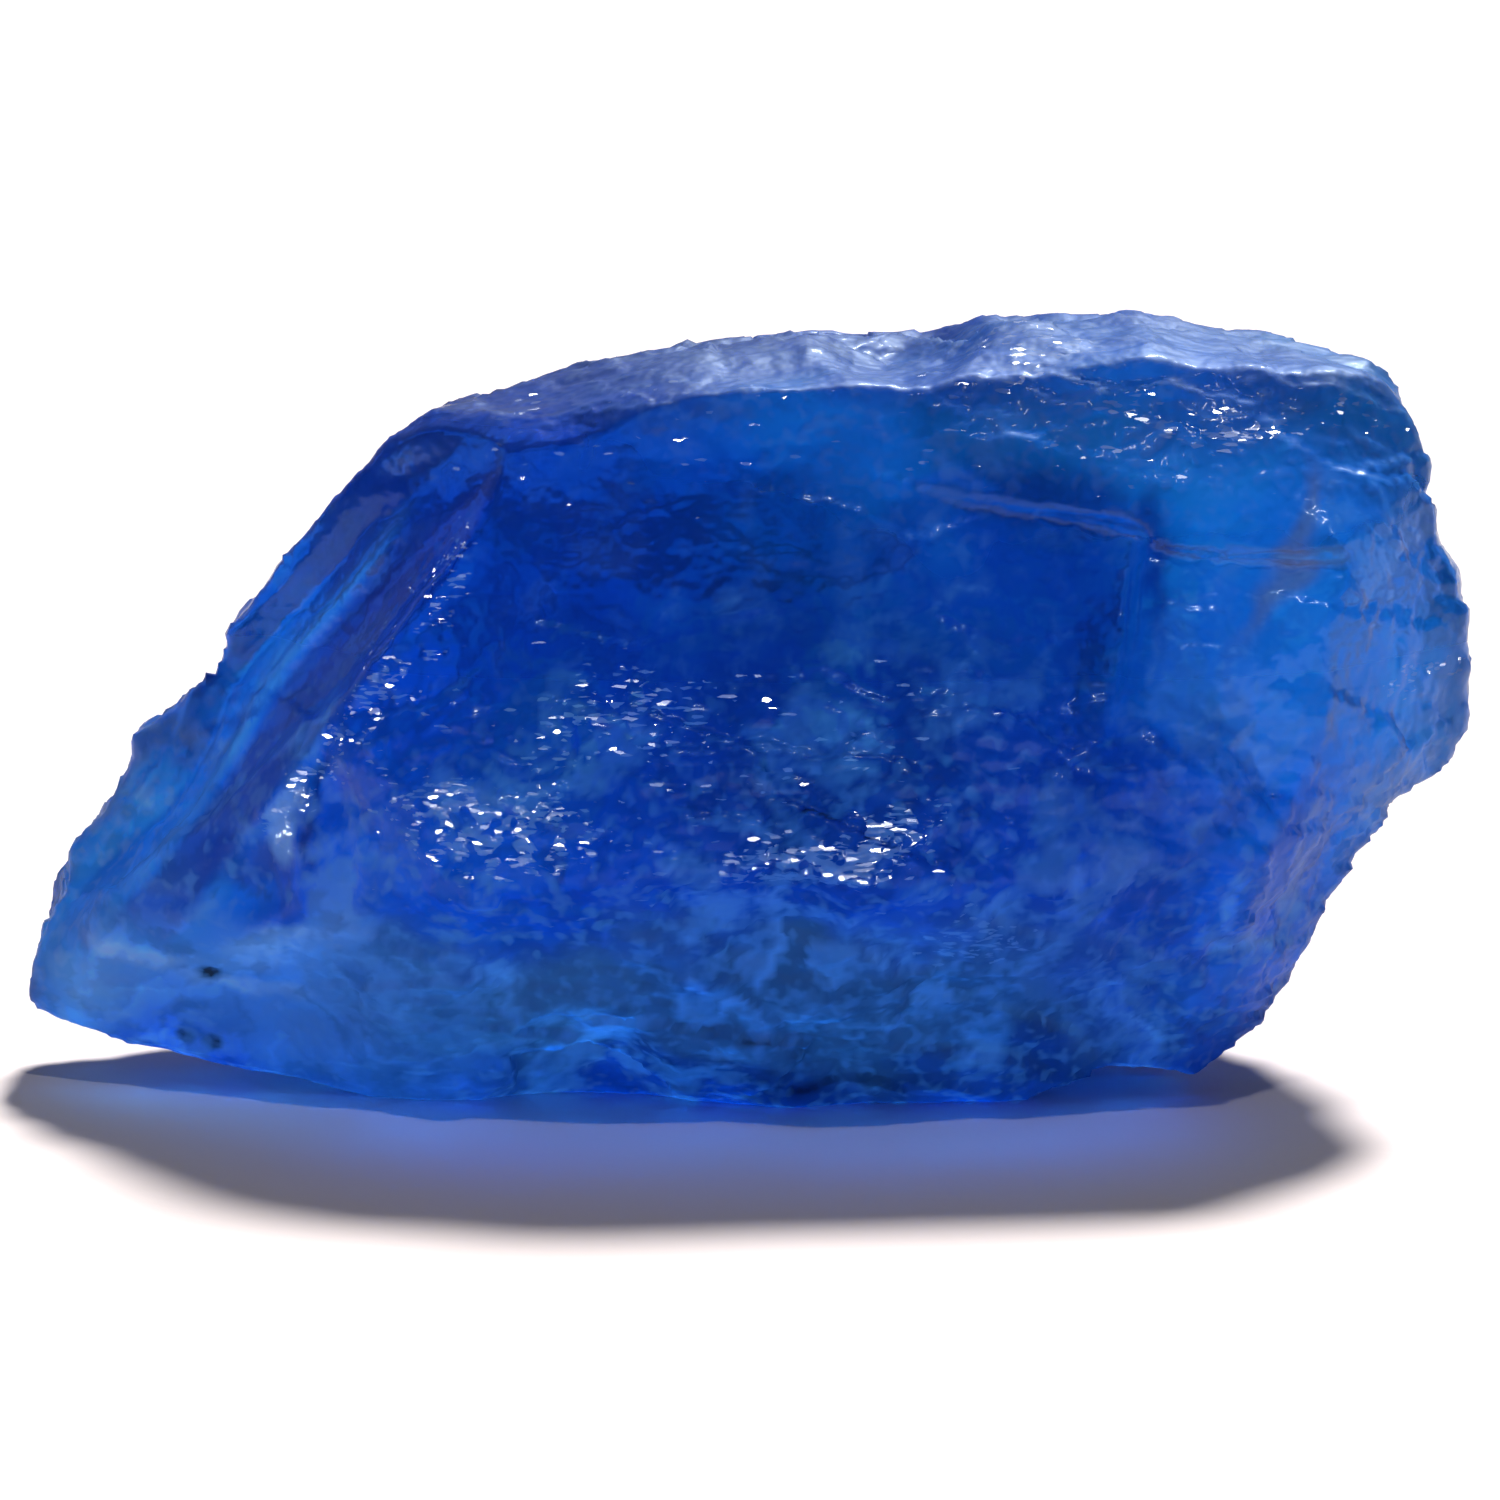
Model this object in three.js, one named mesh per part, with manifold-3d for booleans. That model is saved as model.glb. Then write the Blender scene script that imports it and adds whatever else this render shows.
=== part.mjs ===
// A rough piece of hauyne: one broken fragment of a blue, glassy crystal, lying on its flat spot.
// Millimetres, +Z up. X runs along the piece from its thin left tip, and -Y is its best side.
// It is made as the real one was: a block bounded by flat breaks, from which flakes and stepped
// chips came off, and then the fine hackly relief of the broken surface.
import * as THREE from "three";
import { ConvexGeometry } from "three/addons/geometries/ConvexGeometry.js";
import { ImprovedNoise } from "three/addons/math/ImprovedNoise.js";
import { mergeVertices } from "three/addons/utils/BufferGeometryUtils.js";
import Module from "manifold-3d";

// Driving dimensions
const LENGTH = 12.0;
const FOOT_SINK = 0.1; // how far the unchipped block reaches below the plane that it rests on
const LONGEST_EDGE = 0.5; // of a face
const SHORTEST_EDGE = 0.25; // of a face, where the form allows it
const FORM_LOSS = 0.02; // the most that the surface may move to lose a short edge
const HAUYNE_BLUE = 0x0d3fae;

// Corners of the unchipped block, [x, y, z], as its flat breaks meet
const CREST = [
  [-2.64, -0.55, 5.83], [-2.06, -0.1, 5.93], [-1.39, 0.3, 6.02], [-0.4, 0.5, 6.18],
  [0.6, 0.6, 6.23], [2.27, 0.7, 6.27], [3.25, 0.7, 6.35], [4.27, 0.6, 6.12], [4.98, 0.4, 5.94],
];
const BROW = [
  [-2.5, -1.15, 5.58], [-1.56, -1.45, 5.74], [-0.4, -1.5, 5.98], [0.85, -1.45, 6.08],
  [2.1, -1.15, 6.2], [3.35, -0.95, 6.28], [4.9, -0.75, 5.97],
];
const BELLY = [
  [-3.35, -2.1, 3.0], [-3.75, -2.05, 1.85], [-2.2, -2.8, 2.25], [0.45, -3.05, 2.35],
  [2.5, -2.9, 2.15], [4.25, -2.35, 2.4], [4.9, -1.95, 3.6], [4.95, -1.7, 4.9],
];
const LEFT_TIP = [
  [-3.02, -0.6, 5.55], [-3.36, -0.4, 5.0], [-4.3, -0.3, 3.66], [-4.92, -0.3, 2.82], [-5.72, -0.3, 1.95],
  [-5.95, -0.3, 1.35], [-6.05, -0.3, 0.85], [-6.02, -0.3, 0.58], [-5.45, -1.0, 1.45], [-5.2, -0.3, 0.32],
  [-4.6, 0.9, 3.1], [-5.65, 1.0, 1.5], [-5.7, 0.8, 0.7],
];
const RIGHT_END = [
  [5.28, -0.5, 5.92], [5.5, -0.6, 5.68], [5.74, -0.6, 5.15], [6.0, -0.6, 3.6], [5.98, -0.6, 3.07],
  [5.87, -0.6, 2.9], [4.95, -0.8, 1.75], [4.12, -0.8, 0.34], [3.75, -0.9, 0.12],
  [5.1, 1.2, 5.8], [5.6, 1.6, 4.5], [5.7, 1.5, 3.2], [4.6, 1.5, 1.6],
];
const BACK = [
  [-2.3, 1.3, 5.3], [0.6, 2.0, 5.6], [3.4, 1.8, 5.85], [-4.5, 1.5, 2.9],
  [-3.2, 2.4, 3.9], [-1.5, 2.95, 3.4], [1.6, 3.1, 3.8], [4.1, 2.75, 4.0],
  [-4.6, 1.5, 0.9], [-3.6, 2.1, 1.0], [-0.6, 2.7, 1.2], [2.6, 2.5, 1.0], [3.9, 1.6, 0.6],
];
const FOOT = [
  [-4.56, -0.3, 0.16], [-3.75, -0.8, 0.12], [-2.75, -1.1, -FOOT_SINK], [-2.3, -0.6, -FOOT_SINK],
  [0.2, -1.25, -FOOT_SINK], [2.0, -1.1, -FOOT_SINK], [2.8, 0.1, -FOOT_SINK], [1.9, 1.6, -FOOT_SINK],
  [-0.6, 1.5, -FOOT_SINK],
];

// The six sides that a chip can be looked at from, each as the direction it faces
const SIDES = {
  front: [0, -1, 0],
  back: [0, 1, 0],
  left: [-1, 0, 0],
  right: [1, 0, 0],
  top: [0, 0, 1],
  under: [0, 0, -1],
};

// Conchoidal flakes. Each shaves the surface that its side shows at the point `at`: the two
// radii of its curve across and along, its depth there, and the turn of its long way in degrees.
const FLAKES = [
  // the long smooth flute down the left break, and the small bites beside its foot
  { side: "front", at: [-4.0, 3.6], radii: [1.3, 8.0], depth: 0.32, turn: -36 },
  { side: "front", at: [-4.15, 1.95], radii: [0.8, 1.1], depth: 0.22, turn: -20 },
  { side: "front", at: [-3.35, 2.3], radii: [0.5, 1.6], depth: 0.16, turn: 12 },
  // bites in the outer edge of the left break
  { side: "front", at: [-4.1, 3.7], radii: [0.9, 1.6], depth: 0.12, turn: -60 },
  { side: "front", at: [-5.0, 2.75], radii: [1.2, 3.0], depth: 0.14, turn: -35 },
  { side: "left", at: [0.3, 3.4], radii: [2.6, 1.1], depth: 0.2, turn: 0 },
  { side: "left", at: [0.0, 2.3], radii: [2.2, 0.9], depth: 0.14, turn: 0 },
  // shallow hollows of the main face
  { side: "front", at: [-1.6, 4.6], radii: [6.0, 9.0], depth: 0.1, turn: 20 },
  { side: "front", at: [0.2, 2.0], radii: [2.6, 1.7], depth: 0.16, turn: 80 },
  { side: "front", at: [4.2, 3.1], radii: [2.2, 3.4], depth: 0.14, turn: -12 },
  // the underside, seen from the front
  { side: "front", at: [-3.9, 1.0], radii: [3.2, 2.2], depth: 0.14, turn: 0 },
  { side: "front", at: [3.2, 0.9], radii: [2.4, 3.0], depth: 0.16, turn: 30 },
  { side: "under", at: [-1.35, -1.2], radii: [1.5, 2.2], depth: 0.34, turn: 0 },
  { side: "under", at: [3.0, -0.5], radii: [1.3, 3.0], depth: 0.3, turn: 0 },
  { side: "under", at: [-1.4, 1.2], radii: [1.6, 2.4], depth: 0.4, turn: 40 },
  // the waist and the undercut of the right end
  { side: "right", at: [-0.4, 4.85], radii: [2.4, 0.9], depth: 0.16, turn: 0 },
  { side: "right", at: [0.8, 4.0], radii: [3.0, 2.4], depth: 0.25, turn: 30 },
  { side: "right", at: [-0.4, 1.9], radii: [2.4, 2.2], depth: 0.3, turn: 0 },
  { side: "right", at: [0.6, 1.1], radii: [2.0, 0.8], depth: 0.18, turn: 0 },
  // the dip in the crest, and the slope behind it
  { side: "top", at: [1.3, 0.4], radii: [1.5, 5.0], depth: 0.2, turn: 0 },
  { side: "top", at: [-1.2, 1.0], radii: [3.5, 3.0], depth: 0.25, turn: 20 },
  { side: "top", at: [3.4, 1.3], radii: [2.6, 2.4], depth: 0.2, turn: -30 },
  // the far side
  { side: "back", at: [-0.3, 4.0], radii: [5.0, 2.6], depth: 0.28, turn: 15 },
  { side: "back", at: [3.4, 2.6], radii: [2.6, 3.4], depth: 0.4, turn: -20 },
  { side: "back", at: [-2.9, 2.4], radii: [2.4, 3.0], depth: 0.38, turn: 25 },
  { side: "back", at: [0.6, 1.6], radii: [2.2, 1.6], depth: 0.3, turn: 0 },
  { side: "back", at: [-3.4, 0.9], radii: [2.4, 1.3], depth: 0.26, turn: 20 },
  { side: "back", at: [3.0, 0.9], radii: [1.6, 2.4], depth: 0.24, turn: -35 },
];

// Stepped chips. The step of each is `depth` deep at the point `at`. From there the chip reaches
// to the left, to the right and down by the three numbers of `reach`, and it thins out to the left
// and down by the two `fade` angles.
const CHIPS = [
  // the dark panel in the middle of the main face, and its neighbour on the right
  { side: "front", at: [3.35, 4.95], reach: [5.0, 0, 4.5], depth: 0.24, turn: -13, fade: [5.5, 4.5] },
  { side: "front", at: [4.7, 4.8], reach: [1.6, 2.0, 3.4], depth: 0.13, turn: -2, fade: [2.5, 3] },
  // the top, whose front edge it roughens, and the far side
  { side: "top", at: [1.0, 1.1], reach: [3.6, 0, 1.6], depth: 0.16, turn: 12, fade: [2, 5] },
  { side: "back", at: [2.3, 5.3], reach: [3.4, 0, 2.6], depth: 0.26, turn: 8, fade: [3, 5] },
  { side: "back", at: [-1.6, 3.2], reach: [5.0, 0, 4.0], depth: 0.34, turn: 24, fade: [8, 7] },
];

// The unevenness of the whole block, which broke in waves: [size of the waves, height] of each layer
const WAVES = [[2.6, 0.07], [1.1, 0.06]];
// The small steps of the broken surface
const HACKLE = { size: 0.62, height: 0.05, steps: 3 };

const wasm = await Module();
wasm.setup();

// A surface here is its points and its faces, each face as the three numbers of its points.
function toSurface(geometry) {
  const bare = geometry.clone();
  bare.deleteAttribute("normal");
  bare.deleteAttribute("uv");
  const merged = mergeVertices(bare);
  return surfaceOf(merged.getAttribute("position").array, merged.index.array);
}

function surfaceOf(coordinates, corners) {
  const points = Array.from({ length: coordinates.length / 3 }, (_, i) =>
    new THREE.Vector3().fromArray(coordinates, 3 * i),
  );
  const faces = Array.from({ length: corners.length / 3 }, (_, i) => [...corners.slice(3 * i, 3 * i + 3)]);
  return { points, faces };
}

function toGeometry({ points, faces }) {
  return new THREE.BufferGeometry().setFromPoints(points).setIndex(faces.flat());
}

function toSolid({ points, faces }) {
  return new wasm.Manifold(
    new wasm.Mesh({
      numProp: 3,
      vertProperties: new Float32Array(points.flatMap((p) => p.toArray())),
      triVerts: new Uint32Array(faces.flat()),
    }),
  );
}

function fromSolid(solid) {
  const { vertProperties, triVerts } = solid.getMesh();
  return surfaceOf(vertProperties, triVerts);
}

// Where a side shows the block at a point of its own plane, and how the surface faces there:
// a matrix whose X runs to the right as seen from that side, and whose Z points out.
function seat(block, side, [u, v], turn) {
  const FAR = 20;
  const facing = new THREE.Vector3(...SIDES[side]);
  const start = {
    front: [u, 0, v],
    back: [u, 0, v],
    left: [0, u, v],
    right: [0, u, v],
    top: [u, v, 0],
    under: [u, v, 0],
  }[side];
  const from = new THREE.Vector3(...start).addScaledVector(facing, FAR);
  const [hit] = new THREE.Raycaster(from, facing.clone().negate()).intersectObject(block);
  if (!hit) throw new Error(`the ${side} of the block has nothing at ${u}, ${v}`);
  const out = hit.face.normal;
  const up = new THREE.Vector3(...(facing.z ? [0, 1, 0] : [0, 0, 1]));
  const across = new THREE.Vector3().crossVectors(up, out).normalize();
  const along = new THREE.Vector3().crossVectors(out, across);
  return new THREE.Matrix4()
    .makeBasis(across, along, out)
    .setPosition(hit.point)
    .multiply(new THREE.Matrix4().makeRotationZ(THREE.MathUtils.degToRad(turn)));
}

function flake(block, { side, at, radii: [across, along], depth, turn }) {
  const STEP = 0.7; // between the points of the curve
  const height = Math.min(across, along);
  const ball = new THREE.IcosahedronGeometry(1, Math.ceil(height / STEP))
    .scale(across, along, height)
    .translate(0, 0, height - depth);
  return toSolid(toSurface(ball.applyMatrix4(seat(block, side, at, turn))));
}

function chip(block, { side, at, reach: [left, right, down], depth, turn, fade }) {
  const THICK = 2;
  const [fadeLeft, fadeDown] = fade.map(THREE.MathUtils.degToRad);
  const size = [left + right, down, THICK];
  const slab = new THREE.BoxGeometry(...size, ...size.map((length) => Math.ceil(length / LONGEST_EDGE)))
    .translate((right - left) / 2, -down / 2, THICK / 2)
    .rotateX(-fadeDown)
    .rotateY(fadeLeft)
    .translate(0, 0, -depth);
  return toSolid(uneven(toSurface(slab.applyMatrix4(seat(block, side, at, turn)))));
}

function normalOf(a, b, c) {
  return new THREE.Vector3().crossVectors(b.clone().sub(a), c.clone().sub(a)).normalize();
}

// Draws one end of each short edge to the other, where that moves the surface by less than
// FORM_LOSS and folds no face over, so that the slivers which the cuts leave are gone.
function thinned({ points, faces: given }) {
  const FOLD = 0.2; // the least agreement of a face's old and new normals
  const faces = [...given];
  const around = points.map(() => new Set());
  faces.forEach((face, f) => face.forEach((a) => around[a].add(f)));
  const neighbours = (a) => new Set([...around[a]].flatMap((f) => faces[f]));
  const length = ([a, b]) => points[a].distanceTo(points[b]);

  function canDraw(a, b) {
    const beside = neighbours(b);
    const shared = [...neighbours(a)].filter((n) => n !== a && n !== b && beside.has(n));
    const way = points[b].clone().sub(points[a]);
    return shared.length === 2 && [...around[a]].every((f) => {
      const normal = normalOf(...faces[f].map((n) => points[n]));
      if (Math.abs(way.dot(normal)) > FORM_LOSS) return false;
      const after = faces[f].map((n) => points[n === a ? b : n]);
      return faces[f].includes(b) || normalOf(...after).dot(normal) > FOLD;
    });
  }

  function draw(a, b) {
    for (const f of around[a]) {
      if (faces[f].includes(b)) {
        for (const n of faces[f]) if (n !== a) around[n].delete(f);
        faces[f] = null;
      } else {
        faces[f] = faces[f].map((n) => (n === a ? b : n));
        around[b].add(f);
      }
    }
    around[a].clear();
  }

  for (let drawn = true; drawn; ) {
    drawn = false;
    const edges = faces.filter(Boolean).flatMap((face) => face.map((a, i) => [a, face[(i + 1) % 3]]));
    const short = edges.filter((edge) => length(edge) < SHORTEST_EDGE).sort((d, e) => length(d) - length(e));
    for (const [a, b] of short) {
      if (!neighbours(a).has(b) || !canDraw(a, b)) continue;
      draw(a, b);
      drawn = true;
    }
  }
  return { points, faces: faces.filter(Boolean) };
}

// Splits the faces until no edge is longer than LONGEST_EDGE. An edge is halved for both of its
// faces alike, so the surface stays closed.
function refined({ points: given, faces }) {
  const points = [...given];
  for (let before = 0; before !== faces.length; ) {
    before = faces.length;
    const middles = new Map();
    const middle = (a, b) => {
      if (points[a].distanceTo(points[b]) <= LONGEST_EDGE) return null;
      const key = a < b ? `${a},${b}` : `${b},${a}`;
      if (!middles.has(key)) middles.set(key, points.push(points[a].clone().lerp(points[b], 0.5)) - 1);
      return middles.get(key);
    };
    faces = faces.flatMap((face) => split(face, middle));
  }
  return { points, faces };
}

// The faces that replace one face, given the new middle, or null, of each of its edges.
function split(face, middle) {
  const middles = face.map((a, i) => middle(a, face[(i + 1) % 3]));
  const cut = middles.filter((m) => m !== null).length;
  if (cut === 0) return [face];
  const turns = { 1: (m) => m[0] !== null, 2: (m) => m[2] === null, 3: () => true }[cut];
  const rolled = (list, k) => [0, 1, 2].map((i) => list[(i + k) % 3]);
  const k = [0, 1, 2].find((step) => turns(rolled(middles, step)));
  const [a, b, c] = rolled(face, k);
  const [ab, bc, ca] = rolled(middles, k);
  if (cut === 1) return [[a, ab, c], [ab, b, c]];
  if (cut === 2) return [[ab, b, bc], [a, ab, bc], [a, bc, c]];
  return [[a, ab, ca], [ab, b, bc], [ca, bc, c], [ab, bc, ca]];
}

const noise = new ImprovedNoise();

// Noise with a value of its own in each of its channels
function wave(p, size, channel) {
  const APART = 31.7;
  return noise.noise(p.x / size + APART * channel, p.y / size - APART * channel, p.z / size + APART);
}

// The surface with the waves in which the whole block broke
function uneven({ points, faces }) {
  const moved = points.map((p) => {
    const shift = new THREE.Vector3();
    for (const [size, height] of WAVES) {
      const way = new THREE.Vector3(wave(p, size, 1), wave(p, size, 2), wave(p, size, 3));
      shift.addScaledVector(way, 2 * height);
    }
    return shift.add(p);
  });
  return { points: moved, faces };
}

// The small steps of the broken surface, as a height over it: strong low on the piece and on its
// far side, and faint on the smooth upper part of the main face and on the left break.
function hackle(p) {
  const low = 1 - THREE.MathUtils.smoothstep(p.z, 2.6, 3.8);
  const behind = THREE.MathUtils.smoothstep(p.y, -0.9, 0.2);
  const rough = 0.2 + 0.8 * Math.max(low * THREE.MathUtils.smoothstep(p.x, -4.2, -2.8), behind);
  const level = wave(p, HACKLE.size, 4) * HACKLE.steps;
  const stepped = (Math.round(level) + (level - Math.round(level)) * 0.3) / HACKLE.steps;
  return stepped * HACKLE.height * 2 * rough;
}

function stepped({ points, faces }) {
  const geometry = toGeometry({ points, faces });
  geometry.computeVertexNormals();
  const normal = geometry.getAttribute("normal");
  const out = (i) => new THREE.Vector3().fromBufferAttribute(normal, i);
  return { points: points.map((p, i) => out(i).multiplyScalar(hackle(p)).add(p)), faces };
}

// Everything below the plane that the piece rests on
function floor() {
  const SPAN = 40;
  return toSolid(toSurface(new THREE.BoxGeometry(SPAN, SPAN, SPAN).translate(0, 0, -SPAN / 2)));
}

const corners = [CREST, BROW, BELLY, LEFT_TIP, RIGHT_END, BACK, FOOT].flat();
const block = new THREE.Mesh(new ConvexGeometry(corners.map((c) => new THREE.Vector3(...c))));
const cuts = [...FLAKES.map((f) => flake(block, f)), ...CHIPS.map((c) => chip(block, c))];
const whole = toSolid(uneven(refined(toSurface(block.geometry))));
const chipped = cuts.reduce((body, cut) => body.subtract(cut), whole);
const broken = stepped(refined(thinned(fromSolid(chipped))));
const piece = toGeometry(fromSolid(toSolid(broken).subtract(floor())));

piece.computeBoundingBox();
const { min, max } = piece.boundingBox;
const scale = LENGTH / (max.x - min.x);
piece.translate(-(min.x + max.x) / 2, -(min.y + max.y) / 2, 0).scale(scale, scale, scale);

const hauyne = new THREE.Mesh(
  piece,
  new THREE.MeshStandardMaterial({ color: HAUYNE_BLUE, roughness: 0.3, metalness: 0 }),
);
hauyne.name = "hauyne";

const group = new THREE.Group();
group.add(hauyne);
export default group;
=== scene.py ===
import math

import bpy
import numpy as np
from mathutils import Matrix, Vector, noise


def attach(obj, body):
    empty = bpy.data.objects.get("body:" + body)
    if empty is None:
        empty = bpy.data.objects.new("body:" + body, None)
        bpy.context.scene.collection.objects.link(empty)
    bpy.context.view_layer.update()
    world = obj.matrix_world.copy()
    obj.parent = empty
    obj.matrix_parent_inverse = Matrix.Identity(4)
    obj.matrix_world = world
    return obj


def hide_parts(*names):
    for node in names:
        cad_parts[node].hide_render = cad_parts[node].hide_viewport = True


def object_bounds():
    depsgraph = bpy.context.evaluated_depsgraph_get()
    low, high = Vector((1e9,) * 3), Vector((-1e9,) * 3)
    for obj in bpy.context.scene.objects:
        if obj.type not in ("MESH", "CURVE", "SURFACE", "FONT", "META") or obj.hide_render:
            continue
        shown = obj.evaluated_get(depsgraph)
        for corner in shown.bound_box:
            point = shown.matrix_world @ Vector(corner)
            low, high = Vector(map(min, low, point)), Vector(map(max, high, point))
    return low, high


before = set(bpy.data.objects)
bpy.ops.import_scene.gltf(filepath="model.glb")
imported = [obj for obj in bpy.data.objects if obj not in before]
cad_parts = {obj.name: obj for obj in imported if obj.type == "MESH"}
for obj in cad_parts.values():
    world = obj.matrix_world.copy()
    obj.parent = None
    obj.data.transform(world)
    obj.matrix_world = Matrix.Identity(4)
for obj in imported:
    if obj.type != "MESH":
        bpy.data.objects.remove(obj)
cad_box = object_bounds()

# The piece of hauyne. It is one fragment of clear blue crystal, solid right through, and nothing
# holds it. It broke off in flat breaks, long smooth flakes and stepped chips, and between them the
# break is hackly: small facets that each lean their own way, over a fine grain.
MM = 0.001
FACE_SIZE = 0.057  # mm, of one square of the fine surface
SMOOTHING_ROUNDS = 2  # they take the squares off the surface again
SMOOTHING_STRENGTH = 0.5
# (size in mm, height in mm, share of that height that the smooth parts keep)
FACETS = [(1.10, 0.065, 0.30), (0.42, 0.040, 0.22), (0.19, 0.022, 0.22)]
FACET_STRETCH = Vector((0.62, 1.0, 1.25))  # facets are wider than they are high
FACET_SPREAD = 17.3  # takes neighbouring facets far apart in the noise that leans them
FACET_OFFSET = 0.5  # how much a facet stands in or out, against how much it leans
# Ranges in mm over which the smooth flake scars give way to hackly break.
LOW_BREAK = (3.0, 4.3)  # up Z, hackly below
RIGHT_OF_FLUTE = (-3.9, -2.9)  # along X
TOP_BREAK = (5.55, 5.9)  # up Z
BACK_BREAK = (-0.9, 0.3)  # along Y
TIP_BREAK = (-4.9, -4.3)  # along X, hackly to the left
END_BREAK = (4.6, 5.4)  # along X
# How hackly these parts are, against the low break.
TOP_SHARE = 0.3
BACK_SHARE = 0.8
TIP_SHARE = 0.5
END_SHARE = 0.6
LEDGE_RISE = 0.31  # mm from one small ledge of the belly to the next
LEDGE_DEPTH = 0.035  # mm
LEDGE_WAVES = [(1.1, 0.7), (0.7, 0.2)]  # how far they shift a ledge, in rises, and their size in mm
BELLY_LEFT = (-3.6, -2.6)  # mm along X, over which the belly begins
BELLY_RIGHT = (2.2, 3.6)  # mm along X, over which it ends
BELLY_FOOT = (1.9, 2.3)  # mm up Z
BELLY_HEAD = (3.4, 4.3)  # mm up Z
BELLY_FRONT = (-1.2, -0.6)  # mm along Y
FLUTE_LEAN = math.radians(35.6)  # of the flute on the left, off the vertical
FLUTE_BEND = (0.16, 0.7)  # mm that the flute wavers, and waves per mm
FLUTE_FRONT = (0.0, 0.6)  # mm along Y, over which the forms beside the flute fade out
FLUTE_FOOT = (1.2, 1.7)  # mm up Z, over which they begin
FLUTE_HEAD = (4.4, 5.2)  # mm up Z, over which they end
FLUTE_SIDE = 0.15  # mm across the flute, over which they fade
# (place across the flute, height, width) in mm of the folds that run beside the flute
FOLDS = [(-5.18, 0.07, 0.07), (-5.42, -0.05, 0.06), (-5.62, 0.05, 0.05), (-4.68, 0.05, 0.08)]
FOLDS_END = -4.6  # mm across the flute, and the folds lie to the left of it
STREAKS_END = -5.25  # the same for the streaks
STREAK_WAVES = (7.0, 0.9)  # per mm, across the flute and along it
STREAK_HEIGHT = 0.022  # mm
GRAIN_SIZE = 0.11  # mm, of the grain over everything
GRAIN_HEIGHT = 0.0035  # mm
FOOT_BLEND = 0.22  # mm of height over which the relief fades to the flat foot


def smoothstep(low, high, value):
    t = np.clip((value - low) / (high - low), 0.0, 1.0)
    return t * t * (3.0 - 2.0 * t)


def fine_copy(name, source):
    """A copy of a node's solid in millimetres, remade with small, even faces."""
    mesh = source.data.copy()
    coords = np.empty(len(mesh.vertices) * 3)
    mesh.vertices.foreach_get("co", coords)
    mesh.vertices.foreach_set("co", coords / MM)
    piece = bpy.data.objects.new(name, mesh)
    bpy.context.scene.collection.objects.link(piece)
    remesh = piece.modifiers.new("even_faces", "REMESH")
    remesh.mode = "VOXEL"
    remesh.voxel_size = FACE_SIZE
    smooth = piece.modifiers.new("smooth", "SMOOTH")
    smooth.factor = SMOOTHING_STRENGTH
    smooth.iterations = SMOOTHING_ROUNDS
    remade = piece.evaluated_get(bpy.context.evaluated_depsgraph_get())
    fine_mesh = bpy.data.meshes.new_from_object(remade)
    piece.modifiers.clear()
    piece.data = fine_mesh
    fine_mesh.name = name
    bpy.data.meshes.remove(mesh)
    return piece


def facet_height(point, size):
    """The height of a surface of flat cells that each lean their own way, at a point in mm."""
    stretched = Vector((point.x * FACET_STRETCH.x, point.y * FACET_STRETCH.y, point.z * FACET_STRETCH.z))
    spot = stretched / size
    centre = noise.voronoi(spot)[1][0]
    lean = noise.cell_vector(centre * FACET_SPREAD)
    return (spot - centre).dot(lean) + FACET_OFFSET * lean.x


def roughness_of_break(coords):
    """From 0, on the smooth flake scars, to 1, on the hackly parts, at each point in mm."""
    x, y, z = coords.T
    parts = [
        (1.0 - smoothstep(*LOW_BREAK, z)) * smoothstep(*RIGHT_OF_FLUTE, x),
        TOP_SHARE * smoothstep(*TOP_BREAK, z),
        BACK_SHARE * smoothstep(*BACK_BREAK, y),
        TIP_SHARE * (1.0 - smoothstep(*TIP_BREAK, x)),
        END_SHARE * smoothstep(*END_BREAK, x),
    ]
    return np.maximum.reduce(parts)


def flute_place(coords):
    """How far each point in mm lies across the flute on the left, and how far up along it."""
    x, _, z = coords.T
    sin, cos = math.sin(FLUTE_LEAN), math.cos(FLUTE_LEAN)
    sideways, waves = FLUTE_BEND
    bend = np.array([noise.noise(Vector(c) * waves) for c in coords])
    return x * cos - z * sin + sideways * bend, x * sin + z * cos


def streaks(coords):
    """Waves that run along the flute, from about -1 to 1, at each point in mm."""
    across, along = flute_place(coords)
    fine, long = STREAK_WAVES
    return np.array([noise.noise(Vector((u * fine, v * long, 0.0))) for u, v in zip(across, along)])


def beside_flute(coords, edge):
    """1 on the front left of a place across the flute, 0 to its right, above it and at the back."""
    _, y, z = coords.T
    across, _ = flute_place(coords)
    front = 1.0 - smoothstep(*FLUTE_FRONT, y)
    left = 1.0 - smoothstep(edge, edge + FLUTE_SIDE, across)
    return front * left * smoothstep(*FLUTE_FOOT, z) * (1.0 - smoothstep(*FLUTE_HEAD, z))


def fold_height(coords):
    """The height in mm of the folds and streaks beside the flute, at each point in mm."""
    across, _ = flute_place(coords)
    folds = sum(height * np.exp(-((across - place) / width) ** 2) for place, height, width in FOLDS)
    streaked = beside_flute(coords, STREAKS_END) * STREAK_HEIGHT * streaks(coords)
    return beside_flute(coords, FOLDS_END) * folds + streaked


def ledge_height(point):
    """The height of small ledges that face up, one over the other, at a point in mm."""
    wave, ripple = [shift * noise.noise(point / size) for shift, size in LEDGE_WAVES]
    return (point.z / LEDGE_RISE + wave + ripple) % 1.0 - 0.5


def belly(coords):
    """1 on the bulge of the main face, where the break is stepped, and 0 away from it."""
    x, y, z = coords.T
    along = smoothstep(*BELLY_LEFT, x) * (1.0 - smoothstep(*BELLY_RIGHT, x))
    bulge = along * smoothstep(*BELLY_FOOT, z) * (1.0 - smoothstep(*BELLY_HEAD, z))
    return bulge * (1.0 - smoothstep(*BELLY_FRONT, y))


def points_of(mesh):
    count = len(mesh.vertices)
    coords = np.empty(count * 3)
    mesh.vertices.foreach_get("co", coords)
    return coords.reshape(count, 3)


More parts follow.
